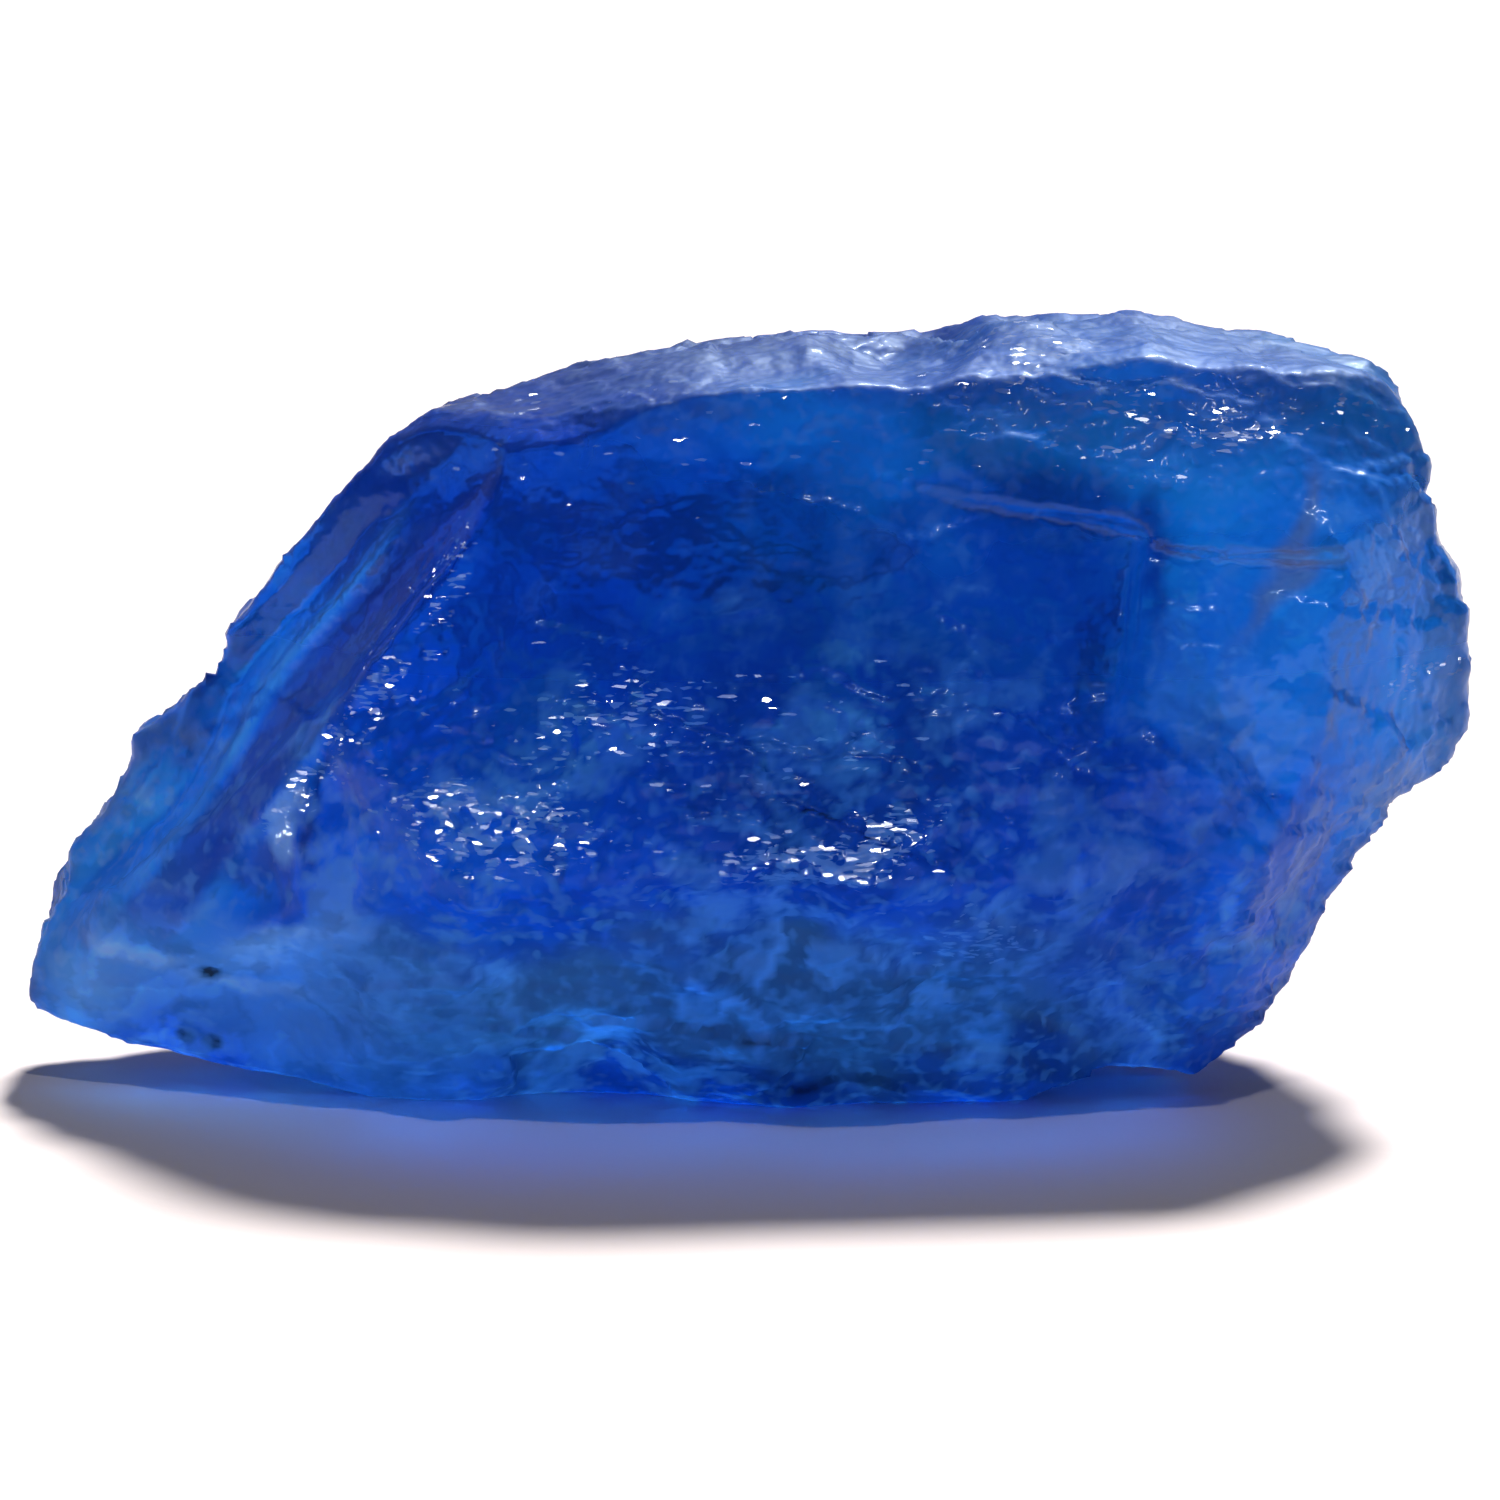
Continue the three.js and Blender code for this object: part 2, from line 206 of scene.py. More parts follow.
def add_break_relief(piece):
    """Raises the facets, ledges, folds and grain of the break, and brings the mesh to metres."""
    mesh = piece.data
    coords = points_of(mesh)
    count = len(coords)
    normals = np.empty(count * 3)
    mesh.vertex_normals.foreach_get("vector", normals)
    normals = normals.reshape(count, 3)
    rough = roughness_of_break(coords)
    points = [Vector(c) for c in coords]
    height = np.zeros(count)
    for size, depth, kept in FACETS:
        cells = np.array([facet_height(p, size) for p in points])
        height += depth * cells * (kept + (1.0 - kept) * rough)
    height += LEDGE_DEPTH * belly(coords) * np.array([ledge_height(p) for p in points])
    height += fold_height(coords)
    height += GRAIN_HEIGHT * np.array([noise.noise(p / GRAIN_SIZE) for p in points])
    height *= smoothstep(0.0, FOOT_BLEND, coords[:, 2])
    coords += normals * height[:, None]
    coords[:, 2] = np.maximum(coords[:, 2], 0.0)
    mesh.vertices.foreach_set("co", (coords * MM).ravel())
    mesh.update()


hauyne = fine_copy("hauyne_crystal", bpy.data.objects["hauyne"])
add_break_relief(hauyne)
for face in hauyne.data.polygons:
    face.use_smooth = True


# The same piece's colour, with painted light and shade in it. The mineral is deep blue through the middle
# and azure where it is thin: the darker middle is painted shade, and the azure of the thin parts is a
# painted glow of the light that passes through them. Clouds and veils of fine inclusions dull it low
# down. Painted shade darkens folds, hollows and the faces under the ledges, painted highlights brighten
# the sliver, the ridge of the flute and the crests of its streaks, and the top edge is paler, partly for
# its frost and partly with painted light. Tiny facets throw back the light, and the cells that glint are
# painted paler as well.
def srgb(red, green, blue):
    def linear(value):
        value /= 255.0
        return value / 12.92 if value <= 0.04045 else ((value + 0.055) / 1.055) ** 2.4
    return (linear(red), linear(green), linear(blue), 1.0)


DEEP_BLUE = srgb(12, 86, 215)
# (name, centre in mm, radii in mm, turn in degrees, edge, colour, strength)
TINTS = [
    # Painted glow: the thin upper right, the part under the brow and the right end are painted azure for
    # the light that passes through them.
    ("painted glow upper right", (3.6, -1.2, 5.4), (3.4, 1.6, 1.5), 0, 0.6, srgb(10, 176, 255), 0.95),
    ("under the brow", (3.2, -1.1, 5.7), (2.6, 1.5, 0.6), 2, 0.6, srgb(40, 195, 255), 0.8),
    ("right end", (5.2, -1.0, 3.9), (1.6, 2.4, 2.6), 0, 0.6, srgb(50, 180, 252), 0.85),
    # The top edge is paler, partly for its frost and partly with painted light that falls on the top.
    ("top edge", (2.5, -0.4, 6.5), (4.0, 1.6, 0.75), 0, 0.5, srgb(40, 118, 212), 0.8),
    ("top edge left", (-1.2, -0.5, 6.1), (2.2, 1.5, 0.6), -8, 0.5, srgb(66, 105, 185), 0.75),
    # Painted shade: the thick middle is darker where little light comes through, and the panel below the
    # ledge is darker in its recess.
    ("middle", (0.6, -2.2, 3.4), (2.6, 1.6, 1.8), 0, 0.7, srgb(6, 30, 78), 0.82),
    ("painted shade on the panel", (2.3, -2.0, 4.5), (1.1, 1.2, 0.8), 12, 0.5, srgb(6, 58, 140), 0.8),
    # Painted glow: the thin left tip, the break beside it and a spot low down are painted azure for the
    # light that passes through them.
    ("painted glow left tip", (-5.2, -0.5, 2.2), (0.9, 1.8, 2.0), 36, 0.5, srgb(40, 165, 255), 0.95),
    ("painted glow left break", (-4.3, -0.4, 3.6), (0.6, 1.6, 1.9), 36, 0.5, srgb(24, 125, 250), 0.8),
    ("painted glow low down", (-2.9, -2.3, 2.1), (0.9, 1.0, 0.5), 0, 0.5, srgb(24, 110, 240), 0.8),
    ("underside left", (-3.9, -1.4, 0.8), (2.2, 1.6, 0.8), 8, 0.4, srgb(160, 205, 245), 0.8),
    ("underside", (0.8, -2.0, 1.0), (4.4, 1.4, 0.85), 0, 0.4, srgb(104, 108, 112), 0.9),
    # Painted shade in the undercut along the foot.
    ("painted shade in the undercut", (0.6, -1.4, 0.25), (4.6, 1.6, 0.32), 0, 0.4, srgb(16, 44, 108), 0.75),
    ("lower right", (4.0, -1.6, 1.6), (1.3, 1.4, 1.3), 0, 0.5, srgb(16, 92, 205), 0.8),
    ("vein", (4.62, -1.75, 4.7), (0.15, 0.5, 0.75), 14, 0.6, srgb(176, 158, 170), 0.95),
]
# The same for small marks with a crisp edge: clouds of inclusions, and painted shade, shadow, highlight
# and glow at the folds, the sliver and the ledges.
MARKS = [
    ("cloud at the tip", (-5.05, -0.95, 1.25), (0.4, 1.2, 0.11), 6, 0.4, srgb(250, 250, 250), 0.8),
    ("cloud beside it", (-3.75, -1.6, 1.47), (0.6, 1.2, 0.17), -16, 0.5, srgb(250, 250, 250), 0.95),
    ("cloud below it", (-4.2, -1.5, 1.0), (0.5, 1.2, 0.1), 6, 0.5, srgb(235, 240, 250), 0.8),
    # Painted shade in the fold by the ridge and in the scoop.
    ("painted shade in the fold by the ridge", (-4.45, -0.85, 3.0), (0.05, 0.9, 0.8), 44, 0.4, srgb(6, 50, 150), 0.7),
    ("painted shade in the scoop", (-4.2, -1.6, 2.15), (0.4, 0.9, 0.2), -20, 0.4, srgb(6, 40, 140), 0.7),
    # A painted highlight on the sliver, and painted shadow beside it.
    ("sliver", (-3.85, -1.84, 2.55), (0.08, 0.9, 0.3), 10, 0.4, srgb(215, 230, 255), 1.0),
    ("painted shadow beside the sliver", (-3.63, -1.9, 2.5), (0.07, 0.9, 0.42), 8, 0.4, srgb(4, 30, 120), 0.85),
    # Painted shade along the ledge on the left.
    ("painted shade on the ledge on the left", (-4.65, -0.7, 3.45), (0.4, 0.9, 0.04), 8, 0.5, srgb(8, 60, 170), 0.8),
    # A painted glow on the ledge strip, and painted shade under the ledge and on the side of the step.
    ("painted glow on the ledge", (2.2, -1.7, 5.22), (0.95, 1.0, 0.09), 11, 0.5, srgb(30, 150, 255), 0.95),
    ("painted shade under the ledge", (2.3, -1.8, 4.75), (1.15, 1.2, 0.75), 8, 0.15, srgb(6, 62, 160), 0.55),
    ("painted shade on the side of the step", (3.35, -1.8, 4.65), (0.09, 1.2, 0.65), -8, 0.5, srgb(4, 44, 128), 0.8),
]
# (name, centre in mm, radii in mm, turn in degrees, edge, share of the break that glints there)
GLINT_PATCHES = [
    ("belly left", (-2.1, -2.6, 2.65), (0.75, 0.8, 0.3), 8, 0.5, 0.9),
    ("belly middle", (0.7, -3.0, 2.6), (0.75, 0.8, 0.22), -14, 0.5, 0.9),
    ("above belly", (-1.0, -2.4, 3.5), (0.7, 0.8, 0.3), -6, 0.6, 0.3),
    ("across the belly", (-0.8, -2.5, 3.0), (2.6, 1.2, 0.9), 0, 0.6, 0.03),
    ("flute edge", (-3.05, -1.8, 3.7), (0.16, 0.8, 1.3), 33, 0.5, 0.4),
    ("low middle", (1.85, -2.5, 1.7), (0.5, 0.8, 0.2), 6, 0.5, 0.35),
    ("brow right", (4.2, -1.2, 5.8), (0.9, 0.6, 0.14), 4, 0.6, 0.5),
    ("brow", (2.3, -0.7, 6.25), (0.45, 0.6, 0.14), -4, 0.6, 0.5),
    ("under the brow", (1.2, -1.3, 5.6), (3.2, 1.2, 0.5), 0, 0.6, 0.02),
    ("right end", (5.6, -1.1, 3.6), (0.3, 0.8, 0.1), 0, 0.6, 0.4),
    ("sliver", (-3.85, -1.84, 2.6), (0.1, 0.8, 0.2), 10, 0.5, 0.8),
]
# Painted light: the streaks beside the flute are lighter where their waves stand up, on the crests of
# their relief.
STREAK_BLUE = srgb(40, 150, 255)
STREAK_EDGE = 0.35  # height of the streaks' waves, below and above 0, over which the blue sets in
STREAK_STRENGTH = 0.7
FLUTE_BLUE = srgb(64, 74, 165)
FLUTE_FLOOR = (-5.2, -5.12)  # mm across the flute, over which its floor begins on the left
FLUTE_FLOOR_END = -4.8  # mm across the flute
FLUTE_STRENGTH = 0.85
# A painted highlight along the ridge of the flute.
RIDGE_HIGHLIGHT = srgb(110, 195, 255)
RIDGE_PLACE = -5.24  # mm across the flute
RIDGE_WIDTH = 0.05  # mm
RIDGE_END = -5.1  # mm across the flute
RIDGE_STRENGTH = 0.9
SPECK_BROWN = srgb(30, 18, 12)
# (centre in mm, half the height in mm)
SPECKS = [((-4.48, -1.11, 1.11), 0.085), ((-4.68, -0.69, 0.47), 0.075), ((-4.46, -0.77, 0.43), 0.075)]
SPECK_WIDTH = 1.3  # against its height
SPECK_REACH = 2  # into the piece, against its height
SPECK_EDGE = 0.35
VEIL_BLUE = srgb(160, 192, 228)
LOW_DOWN = (1.6, 4.4)  # mm up Z, over which clouds, veils and frost thin out
CLOUD_WAVES = 0.9  # per mm
CLOUD_LAYERS = (0.6, 2.1, 6)  # how fast finer waves fade, how much finer each is, how many there are
CLOUD_RANGE = (0.05, 0.55)  # of the clouds' waves, from clear to full
CLOUD_STRENGTH = (0.55, 0.2)  # of the clouds low down, and the share of it that is added everywhere
VEIL_WAVES = 0.7  # per mm
VEIL_WIDTH = 0.05  # of the waves' height, on both sides of 0
VEIL_RANGE = (-0.1, 0.4)  # of the clouds' waves, over which the veils set in
VEIL_STRENGTH = (0.7, 0.4)  # the same for the veils
TONES = [(0.9, 0.17), (0.35, 0.24)]  # size in mm and swing of the patches of darker and lighter blue
TONE_SPREAD = 9.1  # takes neighbouring patches far apart in the noise that shades them
TONE_EVERYWHERE = 0.4  # share of the swing high up, which is also added to the full swing low down
WANDER_LAYERS = 3  # of waves, each half the size of the one before
WANDER_APART = Vector((31.7, -19.3, 47.1))  # keeps the three parts of the vector unlike each other
DRIFT = (1.1, 0.55)  # mm, size and reach of the waves that break up the edges of the tints
FRAY = (0.35, 0.13)  # mm, the same for the small marks
MARK_DRIFT = 0.1  # mm, reach of the large waves on a mark
GLINT_DRIFT = 0.2  # mm, the same on a patch of glints
CLOUD_DRIFT = 0.8  # mm, the same on clouds, veils and tones
SPECK_FRAY = 0.08  # share of the small waves that reaches a speck
TOP_FROST = (5.6, 6.2)  # mm up Z, over which the top edge turns frosted
BACK_FROST = (-0.6, 0.6)  # mm along Y, the same for the back
BACK_FROST_RANGE = (-0.5, 0.3)  # of the clouds' waves, over which the frost at the back sets in
BACK_FROST_STRENGTH = 0.8
# The same as for a tint: centre in mm, radii in mm, turn in degrees and edge of the frosted brow.
BROW_FROST = ((3.0, -1.2, 5.7), (3.4, 1.6, 0.7), 2, 0.6)
BROW_FROST_STRENGTH = 0.7


def wander(point):
    """A vector that changes from place to place in large waves with finer ones in them."""
    way = Vector((0.0, 0.0, 0.0))
    for finer in range(WANDER_LAYERS):
        spot = point * 2 ** finer
        way += Vector([noise.noise(spot + WANDER_APART * axis) for axis in range(3)]) * 0.5 ** finer
    return way


def patch(points, centre, radii, turn, edge):
    """1 inside a soft-edged ball, stretched and turned about Y, and 0 outside it."""
    away = points - np.array(centre)
    cos, sin = math.cos(math.radians(turn)), math.sin(math.radians(turn))
    along = away[:, 0] * cos - away[:, 2] * sin
    up = away[:, 0] * sin + away[:, 2] * cos
    reach = np.linalg.norm(np.stack([along, away[:, 1], up], 1) / np.array(radii), axis=1)
    return 1.0 - smoothstep(1.0 - edge, 1.0 + edge, reach)


def mixed(under, over, mask):
    return under + (np.array(over) - under) * mask[:, None]


def store(mesh, name, kind, values):
    layer = mesh.attributes.new(name, kind, "POINT")
    field = "color" if kind == "FLOAT_COLOR" else "value"
    layer.data.foreach_set(field, values.ravel().astype(np.float32))


def flute_colour(coords, colour):
    """The colour with the streaks, the floor and the ridge of the flute laid over it; the streaks are
    lighter on their crests and the ridge is a painted highlight.
    """
    across, _ = flute_place(coords)
    streaky = beside_flute(coords, STREAKS_END) * smoothstep(-STREAK_EDGE, STREAK_EDGE, streaks(coords))
    colour = mixed(colour, STREAK_BLUE, STREAK_STRENGTH * streaky)
    floor = FLUTE_STRENGTH * beside_flute(coords, FLUTE_FLOOR_END) * smoothstep(*FLUTE_FLOOR, across)
    colour = mixed(colour, FLUTE_BLUE, floor)
    ridge = np.exp(-((across - RIDGE_PLACE) / RIDGE_WIDTH) ** 2)
    return mixed(colour, RIDGE_HIGHLIGHT, RIDGE_STRENGTH * beside_flute(coords, RIDGE_END) * ridge)


def lay_out_colour(mesh):
    """Sets the crystal's colour, with its painted light and shade, its frost and its glints at each point
    of the mesh.
    """
    coords = points_of(mesh) / MM
    points = [Vector(c) for c in coords]
    drift_size, drift_reach = DRIFT
    drift = np.array([wander(p / drift_size) for p in points])
    fray_size, fray_reach = FRAY
    fray = np.array([wander(p / fray_size) for p in points]) * fray_reach

    drifting = coords + drift * drift_reach
    colour = np.tile(np.array(DEEP_BLUE), (len(coords), 1))
    for _, centre, radii, turn, edge, tint, strength in TINTS:
        colour = mixed(colour, tint, strength * patch(drifting, centre, radii, turn, edge))
    colour = flute_colour(coords, colour)
    for _, centre, radii, turn, edge, tint, strength in MARKS:
        place = coords + MARK_DRIFT * drift + fray
        colour = mixed(colour, tint, strength * patch(place, centre, radii, turn, edge))

    low = 1.0 - smoothstep(*LOW_DOWN, coords[:, 2])
    drifted = [p + CLOUD_DRIFT * Vector(way) for p, way in zip(points, drift)]
    cloud = np.array([noise.fractal(p * CLOUD_WAVES, *CLOUD_LAYERS) for p in drifted])
    veil = np.array([noise.noise(p * VEIL_WAVES) for p in drifted])
    lines = (1.0 - smoothstep(0.0, VEIL_WIDTH, np.abs(veil))) * smoothstep(*VEIL_RANGE, cloud)
    strength, everywhere = CLOUD_STRENGTH
    colour = mixed(colour, VEIL_BLUE, strength * (everywhere + low) * smoothstep(*CLOUD_RANGE, cloud))
    strength, everywhere = VEIL_STRENGTH
    colour = mixed(colour, VEIL_BLUE, strength * (everywhere + low) * lines)
    for size, swing in TONES:
        tone = np.array([noise.cell(noise.voronoi(p / size)[1][0] * TONE_SPREAD) for p in drifted])
        colour[:, :3] *= (1.0 + swing * (TONE_EVERYWHERE + low) * tone)[:, None]
    for centre, radius in SPECKS:
        radii = (radius * SPECK_WIDTH, radius * SPECK_REACH, radius)
        speck = patch(coords + SPECK_FRAY * fray, centre, radii, 0, SPECK_EDGE)
        colour = mixed(colour, SPECK_BROWN, speck)

    sparkle = np.zeros(len(coords))
    for _, centre, radii, turn, edge, share in GLINT_PATCHES:
        place = coords + GLINT_DRIFT * drift + fray
        sparkle = np.maximum(sparkle, share * patch(place, centre, radii, turn, edge))
    top = smoothstep(*TOP_FROST, coords[:, 2])
    behind = BACK_FROST_STRENGTH * smoothstep(*BACK_FROST, coords[:, 1])
    behind = behind * smoothstep(*BACK_FROST_RANGE, cloud)
    brow = BROW_FROST_STRENGTH * patch(drifting, *BROW_FROST)
    store(mesh, "tint", "FLOAT_COLOR", colour)
    store(mesh, "frost", "FLOAT", np.maximum.reduce([low, top, behind, brow]))
    store(mesh, "sparkle", "FLOAT", sparkle)


# The crystal is clear: its surface lets light through and its inside takes up red and green. The
# break is glassy on the flake scars. It is frosted low down, on the top edge and the brow under its
# right part, and in places at the back.
FINE_WAVES = 6.0  # per mm, of the finest texture
FINE_LAYERS = (1.0, 0.7)  # how many more layers of waves it has, and how strong they are
WISP_RANGE = (0.5, 0.72)  # of the fine texture, where a wisp begins and where it is full
WISP_EVERYWHERE = 0.08  # wisps on the smooth parts, against those on frosted ones
WISP_STRENGTH = 0.4
BUMP_STRENGTH = 0.6
BUMP_DEPTH = 0.03  # mm
CELLS_PER_MM = 22.0  # cells of the break, of which a share glints
CELL_STRETCH = (0.45, 1.0, 2.0)  # they are wider than they are high
CLEAVAGE_WAY = Vector((0.08, -0.77, 0.64))  # the way that the glinting cells face
CELL_MIDDLE = (0.5, 0.5, 0.22)  # taken off a cell's three chance values, so that it leans both ways
CELL_LEAN = (0.15, 0.15, 0.15)  # how far what is left leans it off the cleavage
GLINT_RANGE = (0.42, 0.5)  # of the fine texture, which frays the cells
PAINTED_GLINT_WHITE = srgb(225, 240, 255)
PAINTED_GLINT_SHARE = 0.35  # how far a glinting cell's colour goes to white: a painted glint, on top of the real one from its turned gloss
GLOSS = (0.2, 0.16)  # weight of the gloss on the smooth parts, and how much of it frost takes
ROUGHNESS = (0.24, 0.3)  # of the smooth parts, and how much frost adds
GLOSS_ROUGHNESS = 0.11
CRYSTAL_IOR = 1.5
CLEARNESS = 0.86  # share of the light that passes the surface instead of scattering on it
SHEEN_LEVEL = 0.08
SHEEN_BLUE = (0.25, 0.55, 1.0, 1.0)
LET_THROUGH = (0.0, 0.68, 0.91, 1.0)  # 1 for a colour that the inside lets through unweakened
ABSORPTION = 520.0  # per metre, of a colour that LET_THROUGH gives as 0


def add_node(tree, kind, inputs=None, **settings):
    node = tree.nodes.new(kind)
    for key, value in settings.items():
        setattr(node, key, value)
    for key, value in (inputs or {}).items():
        socket = node.inputs[key]
        if isinstance(value, bpy.types.NodeSocket):
            tree.links.new(value, socket)
        else:
            socket.default_value = value
    return node


def maths(tree, operation, *values):
    node = add_node(tree, "ShaderNodeMath", dict(enumerate(values)), operation=operation)
    return node.outputs["Value"]


def vector_maths(tree, operation, *values):
    node = add_node(tree, "ShaderNodeVectorMath", dict(enumerate(values)), operation=operation)
    return node.outputs["Vector"]


def stepped(tree, value, low, high):
    """0 below low, 1 above high and a smooth rise between."""
    node = add_node(tree, "ShaderNodeMapRange", {"Value": value, "From Min": low, "From Max": high},
                    interpolation_type="SMOOTHSTEP")
    return node.outputs["Result"]


def mixed_colour(tree, share, under, over):
    node = add_node(tree, "ShaderNodeMix", {0: share, 6: under, 7: over}, data_type="RGBA")
    return node.outputs[2]


def hauyne_material():
    material = bpy.data.materials.new("hauyne_crystal")
    material.use_nodes = True
    tree = material.node_tree
    tree.nodes.clear()
    place = add_node(tree, "ShaderNodeTexCoord").outputs["Object"]
    tint = add_node(tree, "ShaderNodeAttribute", attribute_name="tint").outputs["Color"]
    frost = add_node(tree, "ShaderNodeAttribute", attribute_name="frost").outputs["Fac"]
    sparkle = add_node(tree, "ShaderNodeAttribute", attribute_name="sparkle").outputs["Fac"]

    layers, layer_strength = FINE_LAYERS
    fine = add_node(tree, "ShaderNodeTexNoise", {
        "Vector": place,
        "Scale": FINE_WAVES / MM,
        "Detail": layers,
        "Roughness": layer_strength,
    }).outputs["Fac"]
    wisp = maths(tree, "MULTIPLY", stepped(tree, fine, *WISP_RANGE),
                 maths(tree, "ADD", WISP_EVERYWHERE, frost))
    veiled = mixed_colour(tree, maths(tree, "MULTIPLY", wisp, WISP_STRENGTH), tint, VEIL_BLUE)
    bump = add_node(tree, "ShaderNodeBump", {
        "Height": fine,
        "Strength": BUMP_STRENGTH,
        "Distance": BUMP_DEPTH * MM,
    }).outputs["Normal"]

    long_cells = vector_maths(tree, "MULTIPLY", place, CELL_STRETCH)
    cells = add_node(tree, "ShaderNodeTexVoronoi", {
        "Vector": long_cells,
        "Scale": CELLS_PER_MM / MM,
    }).outputs["Color"]
    chance = add_node(tree, "ShaderNodeSeparateColor", {"Color": cells}).outputs["Blue"]
    chosen = maths(tree, "LESS_THAN", chance, sparkle)
    facet = maths(tree, "MULTIPLY", chosen, stepped(tree, fine, *GLINT_RANGE))
    # Painted glint: a glinting cell's colour is taken towards white as well.
    colour = mixed_colour(tree, maths(tree, "MULTIPLY", facet, PAINTED_GLINT_SHARE), veiled, PAINTED_GLINT_WHITE)
    lean = vector_maths(tree, "MULTIPLY", vector_maths(tree, "SUBTRACT", cells, CELL_MIDDLE), CELL_LEAN)
    cleavage = add_node(tree, "ShaderNodeVectorTransform",
                        {"Vector": vector_maths(tree, "ADD", lean, tuple(CLEAVAGE_WAY))},
                        vector_type="NORMAL", convert_from="OBJECT", convert_to="WORLD").outputs["Vector"]
    faceted = add_node(tree, "ShaderNodeMix",
                       {0: facet, 4: bump, 5: vector_maths(tree, "NORMALIZE", cleavage)},
                       data_type="VECTOR").outputs[1]

    smooth_gloss, frosted_off = GLOSS
    gloss = maths(tree, "SUBTRACT", smooth_gloss, maths(tree, "MULTIPLY", frost, frosted_off))
    smooth_roughness, frosted_on = ROUGHNESS
    roughness = maths(tree, "ADD", smooth_roughness, maths(tree, "MULTIPLY", frost, frosted_on))
    surface = add_node(tree, "ShaderNodeBsdfPrincipled", {
        "Base Color": colour,
        "Roughness": roughness,
        "Metallic": 0.0,
        "IOR": CRYSTAL_IOR,
        "Specular IOR Level": SHEEN_LEVEL,
        "Specular Tint": SHEEN_BLUE,
        "Transmission Weight": CLEARNESS,
        "Coat Weight": maths(tree, "MAXIMUM", facet, gloss),
        "Coat Roughness": GLOSS_ROUGHNESS,
        "Normal": bump,
        "Coat Normal": faceted,
    })
    inside = add_node(tree, "ShaderNodeVolumeAbsorption", {"Color": LET_THROUGH, "Density": ABSORPTION})
    out = add_node(tree, "ShaderNodeOutputMaterial")
    tree.links.new(surface.outputs[0], out.inputs["Surface"])
    tree.links.new(inside.outputs[0], out.inputs["Volume"])
    return material


lay_out_colour(hauyne.data)
hauyne.data.materials.clear()
hauyne.data.materials.append(hauyne_material())
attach(hauyne, "root")
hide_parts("hauyne")

# The floor is a sheet of plain white paper, which the piece lies on. It has a fine grain and isn't
# part of the piece.
PAPER_SIZE = 0.6  # metres
PAPER_COLOUR = (0.9, 0.8, 0.77, 1.0)  # a warm white, which keeps the piece's shadow from going blue
PAPER_ROUGHNESS = 0.9
PAPER_SHEEN = 0.1
PAPER_GRAIN_WAVES = 4.0  # per mm
PAPER_GRAIN_LAYERS = 3.0
PAPER_GRAIN_STRENGTH = 0.3
PAPER_GRAIN_DEPTH = 0.02  # mm
bpy.ops.mesh.primitive_plane_add(size=PAPER_SIZE, location=(0, 0, 0))
paper = bpy.context.object
paper.name = "paper"
paper_material = bpy.data.materials.new("paper")
paper_material.use_nodes = True
paper_tree = paper_material.node_tree
paper_surface = paper_tree.nodes["Principled BSDF"]
paper_surface.inputs["Base Color"].default_value = PAPER_COLOUR
paper_surface.inputs["Roughness"].default_value = PAPER_ROUGHNESS
paper_surface.inputs["Specular IOR Level"].default_value = PAPER_SHEEN
paper_grain = add_node(paper_tree, "ShaderNodeTexNoise", {
    "Vector": add_node(paper_tree, "ShaderNodeTexCoord").outputs["Object"],
    "Scale": PAPER_GRAIN_WAVES / MM,
    "Detail": PAPER_GRAIN_LAYERS,
})
paper_bump = add_node(paper_tree, "ShaderNodeBump", {
    "Height": paper_grain.outputs["Fac"],
    "Strength": PAPER_GRAIN_STRENGTH,
    "Distance": PAPER_GRAIN_DEPTH * MM,
})
paper_tree.links.new(paper_bump.outputs["Normal"], paper_surface.inputs["Normal"])
paper.data.materials.append(paper_material)

# The light is one soft lamp high behind the piece and a little to its right, and a weak narrow one
# above that lights the glints. The surround is bright behind the piece and dim beside the camera.
KEY_WAY = Vector((0.3, 0.9, 1.1))
KEY_STRENGTH = 5.3
KEY_ANGLE = math.radians(9)
GLINT_WAY = Vector((0.15, -0.4, 0.93))
GLINT_STRENGTH = 0.32
GLINT_ANGLE = math.radians(2)
BEHIND_RANGE = (-0.25, 0.6)  # along Y, over which the surround brightens to the back
ABOVE_RANGE = (0.5, 0.95)  # up Z, over which it darkens again overhead
DIM_GLOW = 0.04  # on the side of the camera
BACK_GLOW = 0.2  # added to it at the back
SEEN_THROUGH = 1.3  # how bright the back is where the eye sees it through the crystal
SEEN_THROUGH_LEAST = 0.3  # the same for the rest of the surround
NO_BOUNCE = 0.5  # the count of diffuse bounces is 0 below this


def add_lamp(name, way, strength, angle):
    light = bpy.data.lights.new(name, "SUN")
    light.energy = strength
    light.angle = angle
    lamp = bpy.data.objects.new(name, light)
    lamp.rotation_euler = way.to_track_quat("Z", "Y").to_euler()
    bpy.context.scene.collection.objects.link(lamp)


add_lamp("key", KEY_WAY, KEY_STRENGTH, KEY_ANGLE)
add_lamp("glint", GLINT_WAY, GLINT_STRENGTH, GLINT_ANGLE)

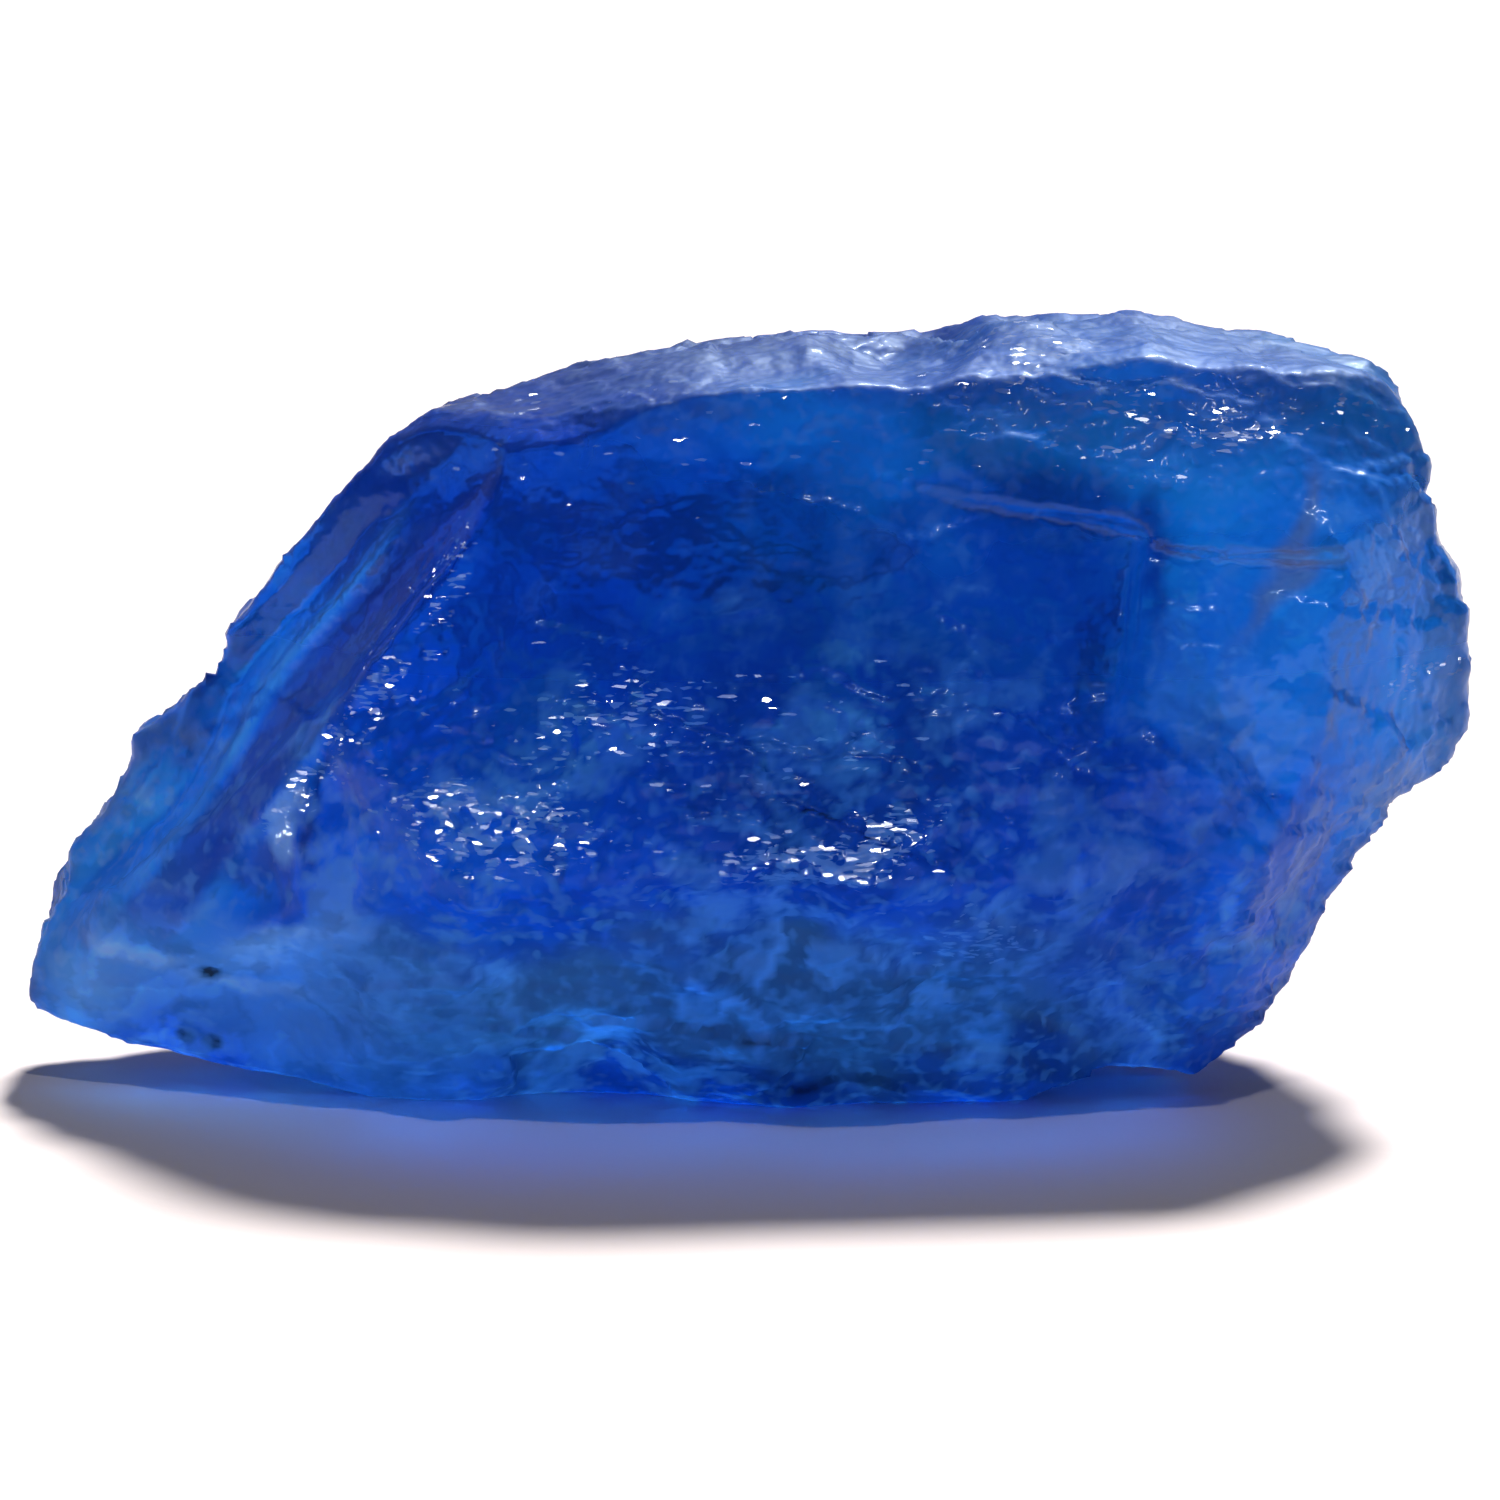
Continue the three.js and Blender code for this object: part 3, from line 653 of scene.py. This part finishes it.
surround = bpy.data.worlds.new("surround")
bpy.context.scene.world = surround
surround.use_nodes = True
sky = surround.node_tree
sky.nodes.clear()
sky_place = add_node(sky, "ShaderNodeTexCoord").outputs["Generated"]
sky_way = add_node(sky, "ShaderNodeSeparateXYZ", {"Vector": sky_place})
behind = stepped(sky, sky_way.outputs["Y"], *BEHIND_RANGE)
above = stepped(sky, sky_way.outputs["Z"], *ABOVE_RANGE)
low_behind = maths(sky, "MULTIPLY", behind, maths(sky, "SUBTRACT", 1.0, above))
glow = maths(sky, "ADD", DIM_GLOW, maths(sky, "MULTIPLY", BACK_GLOW, low_behind))
ray = add_node(sky, "ShaderNodeLightPath")
direct = maths(sky, "LESS_THAN", ray.outputs["Diffuse Depth"], NO_BOUNCE)
seen_through = maths(sky, "MULTIPLY", direct, ray.outputs["Is Transmission Ray"])
through_light = maths(sky, "MAXIMUM", maths(sky, "MULTIPLY", behind, SEEN_THROUGH), SEEN_THROUGH_LEAST)
through = maths(sky, "MULTIPLY", through_light, seen_through)
strength = maths(sky, "MAXIMUM", maths(sky, "MAXIMUM", glow, through), ray.outputs["Is Camera Ray"])
back_light = add_node(sky, "ShaderNodeBackground", {"Color": (1.0, 1.0, 1.0, 1.0), "Strength": strength})
sky_out = add_node(sky, "ShaderNodeOutputWorld")
sky.links.new(back_light.outputs[0], sky_out.inputs["Surface"])

# The camera stands in front of the best side, a little above it, far off with a long lens.
CAMERA_HEIGHT_ANGLE = math.radians(12)
CAMERA_DISTANCE = 0.24  # metres
SENSOR_WIDTH = 36.0  # mm
NEAREST = 0.01  # metres
FARTHEST = 10.0  # metres
PHOTO_WIDTH = 1500  # pixels
PIECE_WIDTH = 1441  # pixels, of the piece from tip to end
AIM = Vector((0.0208, -1.0, 2.956)) * MM  # the point in the middle of the photo
metres_per_pixel = (cad_box[1][0] - cad_box[0][0]) / PIECE_WIDTH
camera = bpy.data.cameras.new("camera")
camera.sensor_width = SENSOR_WIDTH
camera.lens = camera.sensor_width * CAMERA_DISTANCE / (PHOTO_WIDTH * metres_per_pixel)
camera.clip_start = NEAREST
camera.clip_end = FARTHEST
camera_object = bpy.data.objects.new("camera", camera)
back = Vector((0.0, -math.cos(CAMERA_HEIGHT_ANGLE), math.sin(CAMERA_HEIGHT_ANGLE)))
camera_object.location = AIM + back * CAMERA_DISTANCE
camera_object.rotation_euler = back.to_track_quat("Z", "Y").to_euler()
bpy.context.scene.collection.objects.link(camera_object)
bpy.context.scene.camera = camera_object
bpy.context.scene.view_settings.view_transform = "Standard"
